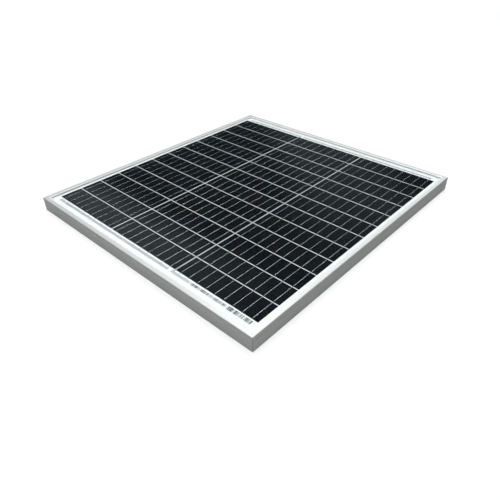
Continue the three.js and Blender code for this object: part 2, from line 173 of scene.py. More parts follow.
class RibbonSettings(PropertyGroup):
    """Flat tinned wires soldered along the cells."""

    count: number("Ribbons on each cell", 9)
    pitch: length("Spacing of the ribbons", 18.1 * MM)
    width: length("Width of a ribbon", 0.9 * MM)
    thickness: length("Thickness of a ribbon", 0.2 * MM)
    inset: length("Distance from a cell's edge to its ribbons' start", 2.9 * MM)
    tuck: length("How far a ribbon reaches under the next cell", 1.5 * MM)
    solder: length("Length of the solder at a ribbon's start", 1.5 * MM)
    tin: colour("Colour of the tinned wires", (0.84, 0.86, 0.89))
    sheen: share("Share of mirror-like reflection on the wires", 0.93)
    roughness: share("Blur of the wires' reflections", 0.2)
    bus_roughness: share("Blur of the wide ribbons' reflections", 0.36)
    bus_tin: colour("Colour of the wide ribbons", (0.55, 0.57, 0.60))


class FilmSettings(PropertyGroup):
    """The white backsheet and the sealant round it."""

    white: colour("Colour of the backsheet", (0.90, 0.92, 0.93))
    # The gaps' colour is painted shade: this cool tint, dimmed by the two shares below, stands for
    # the light lost between the dark cells.
    gap_white: colour("Colour of the backsheet in the gaps", (0.86, 0.91, 0.95))
    gap_shade: share("Light left along the middle of a gap, as a share", 0.85)
    gap_edge: share("Light left beside the cells' edges, as a share", 0.10)
    sealant: colour("Colour of the silicone", (0.90, 0.91, 0.90))
    lip_bead: length("Radius of the bead along the glass", 1.9 * MM)
    sheet_bead: length("Radius of the bead under the backsheet", 0.9 * MM)
    box_bead: length("Radius of the bead round the junction box", 1.1 * MM)
    waviness: share("Unevenness of the beads", 0.22)
    flatness: share("Height of a bead over its width", 0.8)


class LabelSettings(PropertyGroup):
    """A plain bar label and a plain row of marks under the glass."""

    bars: number("Bars on the label", 24)
    bar_row: length("Length of the row of bars", 44 * MM)
    bar_height: length("Height of the bars", 7.5 * MM)
    marks: number("Marks in the row", 34)
    mark_row: length("Length of the row of marks", 74 * MM)
    mark_height: length("Height of the marks", 5.0 * MM)
    bars_x: length("Middle of the row of bars", 224 * MM)
    marks_x: length("Middle of the row of marks", 162 * MM)
    margin: length("Film round the print", 1.2 * MM)
    film: length("Thickness of the film and of the print", 0.05 * MM)
    clearance: length("Height of the film over the bus ribbons", 0.22 * MM)
    ink: colour("Colour of the print", (0.05, 0.055, 0.06))


class BoxSettings(PropertyGroup):
    """The junction box with its lid, glands and terminals."""

    plastic: colour("Colour of the moulded box", (0.018, 0.018, 0.020))
    edge: length("Rounding of the moulded edges", 0.35 * MM)
    fine_edge: length("Rounding of the nuts and terminals", 0.2 * MM)
    relief: length("Height of the raised marks", 0.35 * MM)
    brass: colour("Colour of the terminal plates", (0.74, 0.66, 0.50))
    moulding: colour("Colour of the diode's body", (0.022, 0.022, 0.024))
    band: colour("Colour of the diode's band", (0.55, 0.56, 0.57))


class StageSettings(PropertyGroup):
    """Camera, floor and soft lights."""

    camera_place: place("Where the camera stands", (0.5433, -0.5884, 0.4611))
    camera_aim: place("Point in the middle of the view", (0.1260, -0.1404, 0.0135))
    camera_roll: angle("Turn about the view", math.radians(-0.78))
    lens: strength("Focal length in millimetres", 33.49)
    floor: colour("Colour of the floor", (0.95, 0.95, 0.95))
    evenness: share("How much of the floor's shading is left out", 0.55)
    bounce: share("Share of light that the floor sends back to the panel", 0.25)
    ceiling: strength("Brightness of the wide ceiling overhead", 3.1)
    ceiling_reach: strength("Half width of the ceiling over its height", 0.80)
    right_fall: share("How much dimmer the ceiling is on the right", 0.8)
    left_fall: share("How much dimmer the ceiling is at its left edge", 0.3)
    room_colour: colour("Colour of the light low in the room", (0.84, 0.97, 1.0))
    room: strength("Dim light from the walls of the room", 0.012)
    window: strength("Brightness of the wide light behind on the right", 1.1)
    patch: strength("Brightness of the patch the left corner mirrors", 0.34)
    band: strength("Brightness of the band the far corner mirrors", 0.13)
    overhead: strength("Power of the overhead softbox", 5.0)
    under: strength("Power of the softbox below the floor", 14.0)


class SolarPanelSettings(PropertyGroup):
    """All the settings of the panel."""

    rails: PointerProperty(type=RailSettings)
    glass: PointerProperty(type=GlassSettings)
    cells: PointerProperty(type=CellSettings)
    ribbons: PointerProperty(type=RibbonSettings)
    films: PointerProperty(type=FilmSettings)
    label: PointerProperty(type=LabelSettings)
    box: PointerProperty(type=BoxSettings)
    stage: PointerProperty(type=StageSettings)


# ---------- node trees ----------


def arithmetic(operation, reflected=False):
    """An operator of Signal that adds a Math node. A reflected one has the signal second."""

    def operator(signal, other):
        values = (other, signal) if reflected else (signal, other)
        return signal.graph.maths(operation, *values)

    return operator


class Signal:
    """A node's output. Sums on it add Math nodes, and an index picks its node's other outputs."""

    def __init__(self, graph, socket):
        self.graph = graph
        self.socket = socket

    def __getitem__(self, output):
        return Signal(self.graph, self.socket.node.outputs[output])

    __add__ = arithmetic("ADD")
    __radd__ = arithmetic("ADD", reflected=True)
    __sub__ = arithmetic("SUBTRACT")
    __rsub__ = arithmetic("SUBTRACT", reflected=True)
    __mul__ = arithmetic("MULTIPLY")
    __rmul__ = arithmetic("MULTIPLY", reflected=True)
    __truediv__ = arithmetic("DIVIDE")

    def __neg__(self):
        return self.graph.maths("MULTIPLY", self, -1.0)

    def __abs__(self):
        return self.graph.maths("ABSOLUTE", self)


class Graph:
    """A node tree under construction, of a material, the world or a geometry tree."""

    def __init__(self, tree):
        self.tree = tree

    def add(self, kind, values=None, settings=None, output=0):
        """Adds a node: its settings are set first, then its sockets get values or links."""
        node = self.tree.nodes.new(kind)
        for name, value in (settings or {}).items():
            if name == "items":
                while len(node.index_switch_items) < value:
                    node.index_switch_items.new()
            else:
                setattr(node, name, value)
        for key, value in (values or {}).items():
            if isinstance(value, Signal):
                self.tree.links.new(value.socket, node.inputs[key])
            else:
                node.inputs[key].default_value = value
        return Signal(self, node.outputs[output]) if node.outputs else None

    def maths(self, operation, *values):
        return self.add("ShaderNodeMath", dict(enumerate(values)), {"operation": operation})

    def smooth(self, value, low, high):
        """0 below low and 1 above high, with a soft step between."""
        values = {"Value": value, "From Min": low, "From Max": high}
        return self.add("ShaderNodeMapRange", values, {"interpolation_type": "SMOOTHSTEP"})

    def blend(self, factor, first, second):
        """A mix of two colours."""
        values = {0: factor, 6: first, 7: second}
        return self.add("ShaderNodeMix", values, {"data_type": "RGBA"}, output=2)

    def vector(self, x, y, z):
        return self.add("ShaderNodeCombineXYZ", {"X": x, "Y": y, "Z": z})

    def point(self):
        """The surface point in the object's own coordinates, in metres."""
        return self.add("ShaderNodeTexCoord", output="Object")

    def stretched(self, scale):
        """The surface point's coordinates, each multiplied by its own scale."""
        return self.add("ShaderNodeMapping", {"Vector": self.point(), "Scale": scale})

    def noise(self, scale, detail=3.0, roughness=0.5, point=None):
        """Noise at the surface point, or at another point."""
        at = self.point() if point is None else point
        values = {"Vector": at, "Scale": scale, "Detail": detail, "Roughness": roughness}
        return self.add("ShaderNodeTexNoise", values)

    def bump(self, height, distance, strength=1.0):
        values = {"Height": height, "Distance": distance, "Strength": strength}
        return self.add("ShaderNodeBump", values)

    def axes(self, vector):
        """A node whose outputs X, Y and Z are the vector's parts."""
        return self.add("ShaderNodeSeparateXYZ", {"Vector": vector})

    def outside(self, value, low, high):
        """1 below low and 0 above high, with a soft step between."""
        return 1.0 - self.smooth(value, low, high)


def rgba(tint, factor=1.0):
    """An opaque colour, with its three channels multiplied by the factor."""
    return (*(channel * factor for channel in tint[:3]), 1.0)


def material_of(name, build, *settings):
    """A new material whose shader comes from build(graph, *settings)."""
    material = bpy.data.materials.new(name)
    material.use_nodes = True
    material.node_tree.nodes.clear()
    graph = Graph(material.node_tree)
    shader = build(graph, *settings)
    graph.add("ShaderNodeOutputMaterial", {"Surface": shader})
    return material


def principled(graph, **values):
    """A Principled shader. Underscores in the names stand for spaces."""
    sockets = {name.replace("_", " "): value for name, value in values.items()}
    return graph.add("ShaderNodeBsdfPrincipled", sockets)


# ---------- materials ----------


def anodised(graph, rails, along):
    """Satin anodised aluminium with die lines along the rail, which is 0 for X and 1 for Y."""
    fine = 1.0 / rails.line_spacing
    coarse = fine / 6
    long_scale = 1.2
    stretch = [fine, fine, fine]
    stretch[along] = long_scale
    lines = graph.noise(1.0, 2.0, 0.6, graph.stretched(stretch))
    wide_stretch = [coarse, coarse, coarse]
    wide_stretch[along] = long_scale
    bands = graph.noise(1.0, 2.0, point=graph.stretched(wide_stretch))
    cloud = graph.noise(14.0, 4.0, 0.6)
    grain = graph.noise(2600.0, 2.0)
    warm = (rails.metal[0], rails.metal[1] * 0.985, rails.metal[2] * 0.95)
    shade = graph.blend(bands * 0.6 + lines * 0.4, rgba(rails.metal, 0.90), rgba(rails.metal))
    tint = graph.blend(graph.smooth(cloud, 0.45, 0.75) * 0.6, shade, rgba(warm))
    roughness = rails.roughness - 0.05 + 0.07 * lines + 0.08 * cloud
    height = lines * 0.6 + bands * 0.6 + grain * 0.25
    return principled(
        graph,
        Base_Color=tint,
        Metallic=rails.sheen,
        Roughness=roughness,
        Normal=graph.bump(height, 0.02 * MM, 0.2),
    )


def cast_metal(graph, rails):
    """Dull cast aluminium of the corner keys."""
    grain = graph.noise(900.0, 4.0, 0.6)
    return principled(
        graph,
        Base_Color=graph.blend(grain, rgba(rails.key_metal, 0.75), rgba(rails.key_metal)),
        Metallic=1.0,
        Roughness=0.5 + 0.15 * grain,
        Normal=graph.bump(grain, 0.05 * MM),
    )


def clear_glass(graph, glass):
    """Lightly textured glass that lets the lamps' light through to the cells."""
    ripple = graph.noise(420.0, 2.0)
    clear = principled(
        graph,
        Base_Color=rgba(glass.tint),
        Roughness=glass.roughness,
        IOR=glass.index,
        Transmission_Weight=1.0,
        Specular_IOR_Level=0.42,
        Normal=graph.bump(ripple, 0.004 * MM, 0.35),
    )
    lamp_ray = graph.add("ShaderNodeLightPath", output="Is Shadow Ray")
    straight = graph.maths("MAXIMUM", lamp_ray, lamp_ray["Is Diffuse Ray"])
    open_air = graph.add("ShaderNodeBsdfTransparent", {"Color": rgba(glass.tint)})
    return graph.add("ShaderNodeMixShader", {0: straight, 1: clear, 2: open_air})


def silicon(graph, cells, ribbons):
    """Blue-black textured silicon with printed fingers and busbars, tinted cell by cell."""
    axes = graph.axes(graph.point())
    across = (axes["X"] - GRID_START.x) / STRING_PITCH
    along = (axes["Y"] - GRID_START.y) / ROW_PITCH
    column = graph.maths("FLOOR", across)
    row = graph.maths("FLOOR", along)
    from_middle_x = abs(across - column - 0.5) * STRING_PITCH
    from_middle_y = abs(along - row - 0.5) * ROW_PITCH
    wafer_place = graph.vector(column, row, 4.0)
    settings = {"noise_dimensions": "3D"}
    random = graph.add("ShaderNodeTexWhiteNoise", {"Vector": wafer_place}, settings)

    cloud = graph.noise(60.0, 4.0, 0.6)
    fleck = graph.noise(5200.0, 2.0)
    tint = random["Value"] * 0.75 + cloud * 0.25
    bluish = graph.blend(tint, rgba(cells.deep), rgba(cells.pale))
    brown = (cells.pale[0], cells.pale[1] * 0.9, cells.pale[2] * 0.85)
    brownish = graph.blend(0.5, bluish, rgba(brown))
    wafer = graph.blend(graph.smooth(random["Value"], 0.72, 0.86) * 0.7, bluish, brownish)

    half = CELL_SIZE / 2
    fade = cells.border * 1.3
    inside_x = graph.outside(from_middle_x, half.x - fade, half.x - cells.border)
    inside_y = graph.outside(from_middle_y, half.y - fade, half.y - cells.border)
    printed = inside_x * inside_y
    finger_phase = graph.maths("FRACT", axes["Y"] / cells.finger_pitch + 100.0)
    from_finger = abs(finger_phase - 0.5) * cells.finger_pitch
    finger = graph.outside(from_finger, cells.finger_width * 0.5, cells.finger_width)
    ribbon_phase = graph.maths(
        "FRACT", (across - column - 0.5) * STRING_PITCH / ribbons.pitch + 100.5
    )
    from_busbar = abs(ribbon_phase - 0.5) * ribbons.pitch
    busbar = graph.outside(from_busbar, cells.busbar_width * 0.5, cells.busbar_width * 0.7)
    silver = graph.maths("MAXIMUM", finger * cells.finger_print, busbar * cells.busbar_print)
    silver = silver * printed

    edge_x = graph.smooth(from_middle_x, half.x - cells.border, half.x)
    edge_y = graph.smooth(from_middle_y, half.y - cells.border, half.y)
    edge = graph.maths("MAXIMUM", edge_x, edge_y)
    bare = graph.blend(edge * 0.5, wafer, rgba(cells.deep))
    return principled(
        graph,
        Base_Color=graph.blend(silver, bare, rgba(cells.silver)),
        Metallic=silver * 0.6,
        Roughness=0.42 + 0.12 * fleck,
        Specular_IOR_Level=0.01,
        Normal=graph.bump(fleck + silver * 2.0, 0.004 * MM, 0.6),
    )


def tinned(graph, tin, sheen, roughness):
    """Dull tin on flat copper, a little uneven from the soldering."""
    flow = graph.noise(260.0, 4.0, 0.6)
    fine = graph.noise(2400.0, 3.0)
    return principled(
        graph,
        Base_Color=graph.blend(flow, rgba(tin, 0.80), rgba(tin)),
        Metallic=sheen,
        Roughness=roughness + 0.10 * flow,
        Normal=graph.bump(flow * 0.8 + fine * 0.2, 0.012 * MM, 0.2),
    )


def white_film(graph, films):
    """White backsheet film with a fine emboss, and painted shade in the gaps between the cells,
    darkest beside the cells' edges.
    """
    axes = graph.axes(graph.point())
    grain = graph.noise(1700.0, 3.0, 0.6)
    wave = graph.noise(22.0, 3.0)
    across = (axes["X"] - GRID_START.x) / STRING_PITCH
    along = (axes["Y"] - GRID_START.y) / ROW_PITCH
    string_seam = abs(graph.maths("FRACT", across + 10.5) - 0.5) * STRING_PITCH
    row_seam = abs(graph.maths("FRACT", along + 10.5) - 0.5) * ROW_PITCH
    seam_width = 2.6 * MM
    seam = graph.maths(
        "MAXIMUM",
        graph.outside(string_seam, 0.0, seam_width),
        graph.outside(row_seam, 0.0, seam_width),
    )
    open_gap = graph.maths(
        "MAXIMUM",
        graph.outside(string_seam, 0.6 * MM, 0.9 * MM),
        graph.outside(row_seam, 0.45 * MM, 0.8 * MM),
    )
    in_field = 1.0 - graph.maths(
        "MAXIMUM",
        graph.smooth(abs(axes["X"]), LAST_CELL[1].x, LAST_CELL[1].x + MM),
        graph.smooth(abs(axes["Y"]), LAST_CELL[1].y, LAST_CELL[1].y + MM),
    )
    fibres = graph.smooth(grain * 0.35 + wave * 0.65, 0.3, 0.7)
    open_white = graph.blend(fibres, rgba(films.white, 0.93), rgba(films.white))
    # Painted shade in the gaps between the cells, on the upper side only: a dimmed middle line
    # with darker strips beside the cells' edges.
    middle = (BACKSHEET_BOX[0].z + BACKSHEET_BOX[1].z) / 2
    upper_side = graph.smooth(axes["Z"], middle - 0.05 * MM, middle + 0.05 * MM)
    painted_edge_shade = rgba(films.white, films.gap_edge)
    gap_white = graph.blend(open_gap, painted_edge_shade, rgba(films.gap_white, films.gap_shade))
    return principled(
        graph,
        Base_Color=graph.blend(in_field * upper_side, open_white, gap_white),
        Roughness=0.42 + 0.16 * grain,
        Specular_IOR_Level=0.4,
        Normal=graph.bump(grain * 0.12 + wave * 1.6 - seam * in_field * 1.1, 0.12 * MM, 0.7),
    )


def silicone(graph, films):
    """Pale cured silicone."""
    wave = graph.noise(130.0, 3.0)
    dust = graph.noise(1500.0, 4.0, 0.7)
    dusty = graph.smooth(dust, 0.35, 0.7)
    return principled(
        graph,
        Base_Color=graph.blend(dusty, rgba(films.sealant), rgba(films.sealant, 0.88)),
        Roughness=0.38 + 0.2 * dust,
        Normal=graph.bump(wave + dust * 0.1, 0.15 * MM, 0.5),
    )


def moulded(graph, tone):
    """Black moulding with a fine spark-eroded texture."""
    spark = graph.noise(1500.0, 3.0, 0.65)
    cloud = graph.noise(45.0, 3.0)
    return principled(
        graph,
        Base_Color=graph.blend(spark * 0.6 + cloud * 0.4, rgba(tone), rgba(tone, 1.9)),
        Roughness=0.40 + 0.16 * spark + 0.06 * cloud,
        Normal=graph.bump(spark, 0.05 * MM, 0.7),
    )


def terminal_metal(graph, box, ribbons):
    """Tinned brass strip, yellower where the tin is thin."""
    patch = graph.noise(240.0, 4.0, 0.65)
    brush = graph.noise(1.0, 2.0, point=graph.stretched((2600.0, 90.0, 2600.0)))
    return principled(
        graph,
        Base_Color=graph.blend(graph.smooth(patch, 0.4, 0.62), rgba(box.brass), rgba(ribbons.tin)),
        Metallic=1.0,
        Roughness=0.26 + 0.2 * brush,
        Normal=graph.bump(brush, 0.02 * MM, 0.6),
    )


def diode_parts(graph, box, ribbons):
    """A moulded body with one pale band, and tinned leads."""
    low, high = DIODE_BOX
    half_body = 4.75 * MM
    band_start = 2.6 * MM
    band_end = 3.8 * MM
    axes = graph.axes(graph.point())
    from_middle = axes["X"] - (low.x + high.x) / 2
    lead = graph.smooth(abs(from_middle), half_body - 0.02 * MM, half_body + 0.02 * MM)
    band = graph.smooth(from_middle, band_start, band_start + 0.05 * MM)
    band = band * graph.outside(from_middle, band_end, band_end + 0.05 * MM)
    grain = graph.noise(2000.0, 3.0)
    body = graph.blend(band, rgba(box.moulding), rgba(box.band))
    return principled(
        graph,
        Base_Color=graph.blend(lead, body, rgba(ribbons.tin)),
        Metallic=lead,
        Roughness=0.36 + 0.12 * grain,
        Normal=graph.bump(grain, 0.03 * MM, 0.5),
    )


def printed_paper(graph, films):
    """White label film."""
    grain = graph.noise(2600.0, 3.0)
    return principled(
        graph,
        Base_Color=graph.blend(grain, rgba(films.white, 0.94), rgba(films.white)),
        Roughness=0.5 + 0.1 * grain,
    )


def printed_ink(graph, label):
    """Matt black print, a little broken."""
    speck = graph.noise(3200.0, 3.0)
    faded = graph.smooth(speck, 0.45, 0.7)
    return principled(
        graph,
        Base_Color=graph.blend(faded, rgba(label.ink), rgba(label.ink, 2.6)),
        Roughness=0.6 + 0.1 * speck,
    )


def studio_floor(graph, stage):
    """A pale, partly self-lit floor that lights the panel little and is clear from below."""
    lit = graph.add("ShaderNodeBsdfDiffuse", {"Color": rgba(stage.floor)})
    even = graph.add("ShaderNodeEmission", {"Color": rgba(WHITE)})
    pale = graph.add("ShaderNodeMixShader", {0: stage.evenness, 1: lit, 2: even})
    grey = graph.add("ShaderNodeBsdfDiffuse", {"Color": rgba(WHITE, stage.bounce)})
    path = graph.add("ShaderNodeLightPath", output="Is Camera Ray")
    top = graph.add("ShaderNodeMixShader", {0: path, 1: grey, 2: pale})
    underside = graph.add("ShaderNodeNewGeometry", output="Backfacing")
    clear = graph.maths("MAXIMUM", underside, path["Is Shadow Ray"])
    nothing = graph.add("ShaderNodeBsdfTransparent")
    return graph.add("ShaderNodeMixShader", {0: clear, 1: top, 2: nothing})


# ---------- geometry trees ----------


def geometry_tree(name, integers, floats):
    """A new geometry tree with a material and the named inputs, its graph and its input node."""
    tree = bpy.data.node_groups.new(name, "GeometryNodeTree")
    inputs = {"Int": integers, "Float": floats, "Material": ("Material",)}
    for kind, labels in inputs.items():
        for label in labels:
            tree.interface.new_socket(label, in_out="INPUT", socket_type=f"NodeSocket{kind}")
    tree.interface.new_socket("Geometry", in_out="OUTPUT", socket_type="NodeSocketGeometry")
    graph = Graph(tree)
    return tree, graph, graph.add("NodeGroupInput")


def close_tree(graph, geometry, given):
    """Ends a tree: copies become real, and get the material of the tree's input."""
    real = graph.add("GeometryNodeRealizeInstances", {"Geometry": geometry})
    finished = graph.add(
        "GeometryNodeSetMaterial", {"Geometry": real, "Material": given["Material"]}
    )
    graph.add("NodeGroupOutput", {"Geometry": finished})


def joined_geometry(graph, *parts):
    join = graph.tree.nodes.new("GeometryNodeJoinGeometry")
    for part in parts:
        graph.tree.links.new(part.socket, join.inputs[0])
    return Signal(graph, join.outputs[0])


def transformed(graph, geometry, scale, translation=(0.0, 0.0, 0.0)):
    values = {"Geometry": geometry, "Scale": scale, "Translation": translation}
    return graph.add("GeometryNodeTransform", values)


def linked(name, data):
    """A new object of this data, in the scene."""
    item = bpy.data.objects.new(name, data)
    bpy.context.scene.collection.objects.link(item)
    return item


def grown(tree, name, values, place):
    """The tree's result with these input values, as a plain mesh piece at its place."""
    carrier = linked(name + "_carrier", bpy.data.meshes.new(name))
    modifier = carrier.modifiers.new(name, "NODES")
    modifier.node_group = tree
    identifiers = {item.name: item.identifier for item in tree.interface.items_tree}
    for label, value in values.items():
        modifier[identifiers[label]] = value
    depsgraph = bpy.context.evaluated_depsgraph_get()
    mesh = bpy.data.meshes.new_from_object(carrier.evaluated_get(depsgraph), depsgraph=depsgraph)
    bpy.data.objects.remove(carrier)
    if not mesh.polygons:
        raise RuntimeError(f"the tree of {name} made no faces")
    mesh.transform(place)
    return linked(name, mesh)


def swept(graph, points, profile):
    """A mesh swept through points, each an (x, y, z) of numbers or signals."""
    items = {str(i): graph.vector(*point) for i, point in enumerate(points)}
    index = graph.add("GeometryNodeInputIndex")
    settings = {"data_type": "VECTOR", "items": len(points)}
    position = graph.add("GeometryNodeIndexSwitch", {"Index": index, **items}, settings)
    row = graph.add("GeometryNodeMeshLine", {"Count": len(points)})
    bent = graph.add("GeometryNodeSetPosition", {"Geometry": row, "Position": position})
    path = graph.add("GeometryNodeMeshToCurve", {"Mesh": bent})
    level = graph.add("GeometryNodeSetCurveNormal", {"Curve": path}, {"mode": "Z_UP"})
    return graph.add(
        "GeometryNodeCurveToMesh",
        {"Curve": level, "Profile Curve": profile, "Fill Caps": True},
    )


def copies_along(graph, geometry, count, step, start=(0.0, 0.0, 0.0), scale=(1.0, 1.0, 1.0)):
    """Copies of the geometry on a line of count points, a step apart."""
    places = {"Count": count, "Offset": step, "Start Location": start}
    line = graph.add("GeometryNodeMeshLine", places)
    values = {"Points": line, "Instance": geometry, "Scale": scale}
    return graph.add("GeometryNodeInstanceOnPoints", values)


def ribbon_tree():
    """The ribbons of one string: links over the gaps, ends on one bus, tails on the other."""
    tree, graph, given = geometry_tree(
        "String Ribbons",
        ("Rows", "Count"),
        ("Row Pitch", "Cell Length", "Pitch", "Width", "Thickness")
        + ("Inset", "Tuck", "Drop", "Bus Reach", "Solder"),
    )
    circle = graph.add("GeometryNodeCurvePrimitiveCircle", {"Resolution": 6, "Radius": 0.5})
    profile = transformed(graph, circle, graph.vector(given["Width"], given["Thickness"], 1.0))
    half_cell = given["Cell Length"] * 0.5
    gap = given["Row Pitch"] - given["Cell Length"]
    start = given["Inset"] - half_cell
    low = -given["Drop"]
    link = swept(
        graph,
        [
            (0.0, start, 0.0),
            (0.0, half_cell, 0.0),
            (0.0, half_cell + gap * 0.35, given["Drop"] * -0.2),
            (0.0, half_cell + gap, low),
            (0.0, half_cell + gap + given["Tuck"], low),
        ],
        profile,
    )
    end = swept(graph, [(0.0, start, 0.0), (0.0, half_cell + given["Bus Reach"], 0.0)], profile)
    tail_start = -half_cell - given["Bus Reach"]
    tail = swept(graph, [(0.0, tail_start, low), (0.0, given["Tuck"] - half_cell, low)], profile)
    ball = graph.add("GeometryNodeMeshUVSphere", {"Segments": 8, "Rings": 4, "Radius": 0.5})
    solder = graph.vector(given["Width"] * 1.35, given["Solder"], given["Thickness"] * 1.7)
    drop_of_solder = transformed(graph, ball, solder, graph.vector(0.0, start, 0.0))
    on_cell = joined_geometry(graph, link, drop_of_solder)
    at_end = joined_geometry(graph, end, drop_of_solder)
    first_x = (given["Count"] - 1.0) * given["Pitch"] * -0.5
    first_y = (given["Rows"] - 1.0) * given["Row Pitch"] * -0.5
    across = graph.vector(given["Pitch"], 0.0, 0.0)
    upwards = graph.vector(0.0, given["Row Pitch"], 0.0)
    corner = graph.vector(first_x, first_y, 0.0)
    far_corner = graph.vector(first_x, -first_y, 0.0)
    row_of_links = copies_along(graph, on_cell, given["Count"], across)
    links = copies_along(graph, row_of_links, given["Rows"] - 1.0, upwards, corner)
    ends = copies_along(graph, at_end, given["Count"], across, far_corner)
    tails = copies_along(graph, tail, given["Count"], across, corner)
    close_tree(graph, joined_geometry(graph, links, ends, tails), given)
    return tree


def bead_tree():
    """A squeezed-out bead of sealant round a rectangle with rounded corners."""
    tree, graph, given = geometry_tree(
        "Sealant Bead",
        (),
        ("Size X", "Size Y", "Corner", "Bead Radius", "Flatness", "Waviness", "Step", "Seed"),
    )
    sides = {"Width": given["Size X"], "Height": given["Size Y"]}
    outline = graph.add("GeometryNodeCurvePrimitiveQuadrilateral", sides)
    corners = {"Curve": outline, "Radius": given["Corner"], "Count": 6}
    rounded = graph.add("GeometryNodeFilletCurve", corners, {"mode": "POLY"})
    pieces = {"Curve": rounded, "Length": given["Step"]}
    fine = graph.add("GeometryNodeResampleCurve", pieces, {"mode": "LENGTH"})
    ripples = {"W": given["Seed"], "Scale": 55.0, "Detail": 3.0}
    noise = graph.add("ShaderNodeTexNoise", ripples, {"noise_dimensions": "4D"})
    swing = (noise - 0.5) * given["Waviness"]
    width = graph.add("GeometryNodeSetCurveRadius", {"Curve": fine, "Radius": 1.0 + swing * 1.6})
    level = graph.add("GeometryNodeSetCurveNormal", {"Curve": width}, {"mode": "Z_UP"})
    circle = graph.add(
        "GeometryNodeCurvePrimitiveCircle",
        {"Resolution": 12, "Radius": given["Bead Radius"]},
    )
    profile = transformed(graph, circle, graph.vector(1.0, given["Flatness"], 1.0))
    bead = graph.add("GeometryNodeCurveToMesh", {"Curve": level, "Profile Curve": profile})
    smooth = graph.add("GeometryNodeSetShadeSmooth", {"Geometry": bead})
    close_tree(graph, smooth, given)
    return tree


def print_tree():
    """A row of upright printed bars of uneven widths."""
    tree, graph, given = geometry_tree(
        "Printed Row",
        ("Count", "Seed"),
        ("Row Length", "Height", "Thickness", "Narrowest", "Widest"),
    )
    step = given["Row Length"] / given["Count"]
    limits = {2: given["Narrowest"], 3: given["Widest"], "Seed": given["Seed"]}
    width = graph.add("FunctionNodeRandomValue", limits, {"data_type": "FLOAT"}, output=1)
    size = graph.vector(width * step, given["Height"], given["Thickness"])
    cube = graph.add("GeometryNodeMeshCube", {"Size": (1.0, 1.0, 1.0)})
    across = graph.vector(step, 0.0, 0.0)
    start = graph.vector((given["Row Length"] - step) * -0.5, 0.0, 0.0)
    bars = copies_along(graph, cube, given["Count"], across, start, size)
    close_tree(graph, bars, given)
    return tree


# ---------- pieces ----------


def clean_copy(node):
    """A copy of a CAD node's mesh with its vertices merged and its flat faces whole."""
    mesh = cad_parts[node].data.copy()
    work = bmesh.new()
    work.from_mesh(mesh)
    bmesh.ops.remove_doubles(work, verts=work.verts, dist=0.002 * MM)
    bmesh.ops.dissolve_limit(
        work, angle_limit=math.radians(0.5), verts=work.verts, edges=work.edges
    )
    work.to_mesh(mesh)
    work.free()
    mesh.materials.clear()
    return mesh


def smooth_curves(mesh):
    mesh.shade_smooth()
    mesh.set_sharp_from_angle(angle=SMOOTH_ANGLE)


def rounded_piece(name, mesh, edge, material):
    """A piece with rounded edges and smooth curves."""
    mesh.materials.append(material)
    smooth_curves(mesh)
    piece = linked(name, mesh)
    bevel = piece.modifiers.new("Rounded Edges", "BEVEL")
    bevel.width = edge
    bevel.segments = 2
    bevel.limit_method = "ANGLE"
    bevel.angle_limit = SMOOTH_ANGLE
    bevel.harden_normals = True
    return piece


def dressed(node, name, edge, material, body=PANEL_BODY):
    """A rounded piece that stands for a CAD node."""
    piece = rounded_piece(name, clean_copy(node), edge, material)
    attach(piece, body)
    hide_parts(node)
    return piece


def coat(node, material):
    """Gives a CAD node that stays as it is its material."""
    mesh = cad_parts[node].data
    mesh.materials.clear()
    mesh.materials.append(material)


def prism(work, outline, low, high):
    """Adds an upright prism over a closed outline of (x, y) points."""
    bottom = [work.verts.new((x, y, low)) for x, y in outline]
    top = [work.verts.new((x, y, high)) for x, y in outline]
    work.faces.new(bottom[::-1])
    work.faces.new(top)
    for i in range(len(outline)):
        j = (i + 1) % len(outline)
        work.faces.new((bottom[i], bottom[j], top[j], top[i]))


def prism_mesh(name, outline, low, high):
    """A mesh of one upright prism."""
    work = bmesh.new()
    prism(work, outline, low, high)
    mesh = bpy.data.meshes.new(name)
    work.to_mesh(mesh)
    work.free()
    return mesh


def rectangle(middle, size_x, size_y):
    """A rectangle's four corners, anticlockwise."""
    signs = ((-1, -1), (1, -1), (1, 1), (-1, 1))
    return [(middle[0] + x * size_x / 2, middle[1] + y * size_y / 2) for x, y in signs]


def rounded_outline(size_x, size_y, corner, middle):
    """The outline of a rectangle with rounded corners, anticlockwise."""
    steps = 5
    outline = []
    for quarter in range(4):
        turn = quarter * math.pi / 2
        side_x = math.copysign(size_x / 2 - corner, math.cos(turn + math.pi / 4))
        side_y = math.copysign(size_y / 2 - corner, math.sin(turn + math.pi / 4))
        for step in range(steps + 1):
            angle = turn + step / steps * math.pi / 2
            x = middle[0] + side_x + corner * math.cos(angle)
            y = middle[1] + side_y + corner * math.sin(angle)
            outline.append((x, y))
    return outline


def settings_of(context):
    return context.scene.solar_panel


class SOLARPANEL_OT_rails(Operator):
    """Rounds and finishes the four rails and the keys in their corners"""

    bl_idname = "solar_panel.rails"
    bl_label = "Rails and Corner Keys"

    def execute(self, context):
        rails = settings_of(context).rails
        along_x = material_of("anodised_along_x", anodised, rails, 0)
        along_y = material_of("anodised_along_y", anodised, rails, 1)
        key_metal = material_of("corner_key_metal", cast_metal, rails)
        for side in ("front", "back"):
            dressed(f"rail_{side}", f"frame_{side}", rails.edge, along_x)
        for side in ("left", "right"):
            dressed(f"rail_{side}", f"frame_{side}", rails.edge, along_y)
        for end in ("front", "back"):
            for side in ("left", "right"):
                coat(f"corner_key_{end}_{side}", key_metal)
        return {"FINISHED"}


